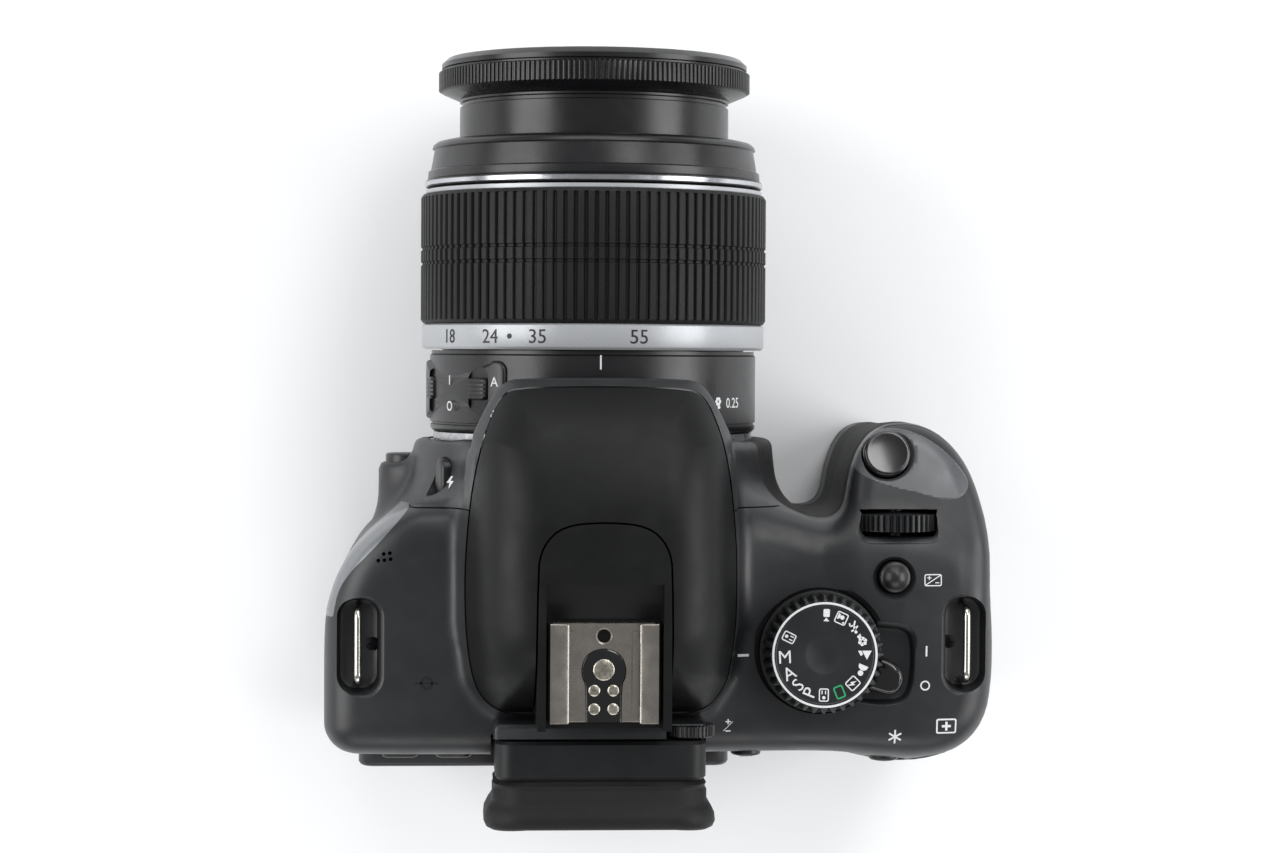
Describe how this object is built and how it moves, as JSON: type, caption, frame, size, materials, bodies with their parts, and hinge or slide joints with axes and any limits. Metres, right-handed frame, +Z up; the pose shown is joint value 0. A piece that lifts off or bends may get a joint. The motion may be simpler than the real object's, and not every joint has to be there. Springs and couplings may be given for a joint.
{
  "type": "dslr camera",
  "caption": "Single-lens reflex camera with a standard zoom lens, pop-up flash, accessory shoe, mode dial and rubber-covered grip.",
  "frame": {"origin": "centre of the tripod socket's mouth, at the base", "axes": "+Z up; the lens looks along -Y; the grip is at -X"},
  "size_m": [0.1288, 0.1473, 0.0965],
  "materials": {
    "black_shell": "moulded satin, fine texture",
    "grip_rubber": "moulded rubber, fine grain",
    "inner_frame": "glass-filled moulding",
    "silver_trim": "silver painted, satin",
    "ring_metal": "turned and polished",
    "screw_metal": "blackened",
    "shoe_metal": "nickel plated, brushed",
    "contact_plate": "moulded, brass contacts",
    "lug_metal": "polished",
    "rubber": "matt",
    "optic_glass": "polished",
    "screen_glass": "glossy black window",
    "board": "solder resist",
    "sensor": "filter glass over silicon",
    "battery_case": "moulded",
    "card_case": "moulded",
    "button": "polished black",
    "dial": "knurled satin black",
    "mirror": "front silvered",
    "lens_black": "black satin paint",
    "lens_scale": "silver paint, satin",
    "flash_glass": "ribbed diffuser"
  },
  "bodies": {
    "body": {"chassis": "inner_frame", "front_cover": "black_shell", "top_cover": "black_shell", "rear_cover": "black_shell", "bottom_cover": "black_shell", "side_trim": "silver_trim", "grip_rubber": "grip_rubber", "mount_ring": "ring_metal", "screws": "screw_metal", "hot_shoe": "shoe_metal", "shoe_contacts": "contact_plate", "strap_lugs": "lug_metal", "eyepiece_frame": "inner_frame", "viewfinder_optics": "optic_glass", "eyecup": "rubber", "screen_window": "screen_glass", "main_board": "board", "image_sensor": "sensor", "shutter_unit": "inner_frame", "battery": "battery_case", "memory_card": "card_case", "tripod_socket": "ring_metal", "lens_mount": "ring_metal", "lens_barrel": "lens_black", "front_barrel": "lens_black", "rear_lens": "optic_glass"},
    "shutter_button": {"shutter_button": "button"},
    "iso_button": {"iso_button": "button"},
    "flash_button": {"flash_button": "black_shell"},
    "lens_release_button": {"lens_release_button": "black_shell"},
    "lock_pin": {"lock_pin": "ring_metal"},
    "menu_button": {"menu_button": "black_shell"},
    "display_button": {"display_button": "black_shell"},
    "live_view_button": {"live_view_button": "black_shell"},
    "ae_lock_button": {"ae_lock_button": "black_shell"},
    "af_point_button": {"af_point_button": "black_shell"},
    "exposure_button": {"exposure_button": "black_shell"},
    "playback_button": {"playback_button": "black_shell"},
    "erase_button": {"erase_button": "black_shell"},
    "set_button": {"set_button": "black_shell"},
    "cross_keys": {"cross_keys": "black_shell"},
    "main_dial": {"main_dial": "dial"},
    "mode_dial": {"mode_dial": "dial"},
    "power_switch": {"power_switch": "dial"},
    "diopter_dial": {"diopter_dial": "dial"},
    "flash": {"flash_head": "black_shell", "flash_window": "flash_glass"},
    "main_mirror": {"main_mirror": "mirror"},
    "sub_mirror": {"sub_mirror": "mirror"},
    "terminal_cover": {"terminal_cover": "rubber"},
    "card_door": {"card_door": "black_shell"},
    "battery_door": {"battery_door": "black_shell"},
    "battery_latch": {"battery_latch": "black_shell"},
    "zoom": {"zoom_ring": "lens_scale", "zoom_grip": "grip_rubber"},
    "inner_barrel": {"inner_barrel": "lens_black"},
    "focus": {"focus_ring": "lens_black", "front_lens": "optic_glass"},
    "focus_mode_switch": {"focus_mode_switch": "dial"},
    "stabiliser_switch": {"stabiliser_switch": "dial"}
  },
  "joints": [
    {"name": "shutter_press", "type": "slide", "parent": "body", "child": "shutter_button", "axis": [0, 0.2756, -0.9613], "range_m": [0, 0.0012], "stiffness_N_per_m": 250, "springref_m": -0.001},
    {"name": "iso_press", "type": "slide", "parent": "body", "child": "iso_button", "axis": [0, 0, -1], "range_m": [0, 0.0008], "stiffness_N_per_m": 250, "springref_m": -0.001},
    {"name": "flash_button_press", "type": "slide", "parent": "body", "child": "flash_button", "axis": [-0.9431, 0, -0.3326], "range_m": [0, 0.001], "stiffness_N_per_m": 250, "springref_m": -0.001},
    {"name": "lens_release_press", "type": "slide", "parent": "body", "child": "lens_release_button", "axis": [0, 1, 0], "range_m": [0, 0.0018], "stiffness_N_per_m": 500, "springref_m": -0.001},
    {"name": "lock_pin_slide", "type": "slide", "parent": "body", "child": "lock_pin", "axis": [0, 1, 0], "range_m": [0, 0.0018], "stiffness_N_per_m": 100, "springref_m": -0.001},
    {"name": "menu_press", "type": "slide", "parent": "body", "child": "menu_button", "axis": [0, -1, 0], "range_m": [0, 0.0006], "stiffness_N_per_m": 250, "springref_m": -0.001},
    {"name": "display_press", "type": "slide", "parent": "body", "child": "display_button", "axis": [0, -1, 0], "range_m": [0, 0.0006], "stiffness_N_per_m": 250, "springref_m": -0.001},
    {"name": "live_view_press", "type": "slide", "parent": "body", "child": "live_view_button", "axis": [0, -1, 0], "range_m": [0, 0.0006], "stiffness_N_per_m": 250, "springref_m": -0.001},
    {"name": "ae_lock_press", "type": "slide", "parent": "body", "child": "ae_lock_button", "axis": [0, -1, 0], "range_m": [0, 0.0006], "stiffness_N_per_m": 250, "springref_m": -0.001},
    {"name": "af_point_press", "type": "slide", "parent": "body", "child": "af_point_button", "axis": [0, -1, 0], "range_m": [0, 0.0006], "stiffness_N_per_m": 250, "springref_m": -0.001},
    {"name": "exposure_press", "type": "slide", "parent": "body", "child": "exposure_button", "axis": [0, -1, 0], "range_m": [0, 0.0006], "stiffness_N_per_m": 250, "springref_m": -0.001},
    {"name": "playback_press", "type": "slide", "parent": "body", "child": "playback_button", "axis": [0, -1, 0], "range_m": [0, 0.0006], "stiffness_N_per_m": 250, "springref_m": -0.001},
    {"name": "erase_press", "type": "slide", "parent": "body", "child": "erase_button", "axis": [0, -1, 0], "range_m": [0, 0.0006], "stiffness_N_per_m": 250, "springref_m": -0.001},
    {"name": "set_press", "type": "slide", "parent": "body", "child": "set_button", "axis": [0, -1, 0], "range_m": [0, 0.0006], "stiffness_N_per_m": 250, "springref_m": -0.001},
    {"name": "cross_keys_rock", "type": "hinge", "parent": "body", "child": "cross_keys", "pos_m": [-0.0533, 0.0286, 0.034], "axis": [1, 0, 0], "range_deg": [-2, 2], "stiffness_Nm_per_rad": 0.2},
    {"name": "main_dial_spin", "type": "hinge", "parent": "body", "child": "main_dial", "pos_m": [-0.0575, -0.0161, 0.06428], "axis": [0, 1, 0], "continuous": true},
    {"name": "mode_dial_turn", "type": "hinge", "parent": "body", "child": "mode_dial", "pos_m": [-0.0421, 0.0081, 0.0765], "axis": [0, 0, 1], "range_deg": [-270, 22.5]},
    {"name": "power_switch_turn", "type": "hinge", "parent": "body", "child": "power_switch", "pos_m": [-0.0421, 0.0081, 0.073], "axis": [0, 0, 1], "range_deg": [0, 24]},
    {"name": "diopter_turn", "type": "hinge", "parent": "body", "child": "diopter_dial", "pos_m": [-0.017, 0.022, 0.0785], "axis": [0, 1, 0], "range_deg": [-150, 150]},
    {"name": "flash_raise", "type": "hinge", "parent": "body", "child": "flash", "pos_m": [0, 0.011, 0.082], "axis": [-1, 0, 0], "range_deg": [0, 68]},
    {"name": "main_mirror_swing", "type": "hinge", "parent": "body", "child": "main_mirror", "pos_m": [0, 0.0055, 0.0555], "axis": [-1, 0, 0], "range_deg": [0, 45], "stiffness_Nm_per_rad": 0.004, "springref_deg": -17.19},
    {"name": "sub_mirror_fold", "type": "hinge", "parent": "main_mirror", "child": "sub_mirror", "pos_m": [0, -0.00334, 0.04313], "axis": [1, 0, 0], "range_deg": [0, 90]},
    {"name": "terminal_cover_swing", "type": "hinge", "parent": "body", "child": "terminal_cover", "pos_m": [0.052, 0.004, 0.034], "axis": [0, 0, -1], "range_deg": [0, 110]},
    {"name": "card_door_swing", "type": "hinge", "parent": "body", "child": "card_door", "pos_m": [-0.0768, 0.0197, 0.034], "axis": [0, 0, -1], "range_deg": [0, 100]},
    {"name": "battery_door_swing", "type": "hinge", "parent": "body", "child": "battery_door", "pos_m": [-0.0698, -0.0065, 0.0003], "axis": [0, 1, 0], "range_deg": [0, 95]},
    {"name": "battery_latch_slide", "type": "slide", "parent": "body", "child": "battery_latch", "axis": [1, 0, 0], "range_m": [0, 0.002], "stiffness_N_per_m": 150, "springref_m": -0.001},
    {"name": "zoom_turn", "type": "hinge", "parent": "body", "child": "zoom", "pos_m": [0, -0.064, 0.041], "axis": [0, 1, 0], "range_deg": [-57, 12.2]},
    {"name": "inner_barrel_slide", "type": "slide", "parent": "body", "child": "inner_barrel", "axis": [0, -1, 0], "range_m": [-0.0071, 0.0016]},
    {"name": "focus_turn", "type": "hinge", "parent": "inner_barrel", "child": "focus", "pos_m": [0, -0.102, 0.041], "axis": [0, 1, 0], "range_deg": [-45, 50]},
    {"name": "focus_mode_slide", "type": "slide", "parent": "body", "child": "focus_mode_switch", "axis": [0, 1, 0], "range_m": [0, 0.003]},
    {"name": "stabiliser_slide", "type": "slide", "parent": "body", "child": "stabiliser_switch", "axis": [0, 1, 0], "range_m": [0, 0.003]}
  ],
  "couplings": [
    {"joint": "lock_pin_slide", "follows": "lens_release_press", "ratio": 1},
    {"joint": "sub_mirror_fold", "follows": "main_mirror_swing", "ratio": 2},
    {"joint": "inner_barrel_slide", "follows": "zoom_turn", "m_per_rad": 0.007036}
  ]
}
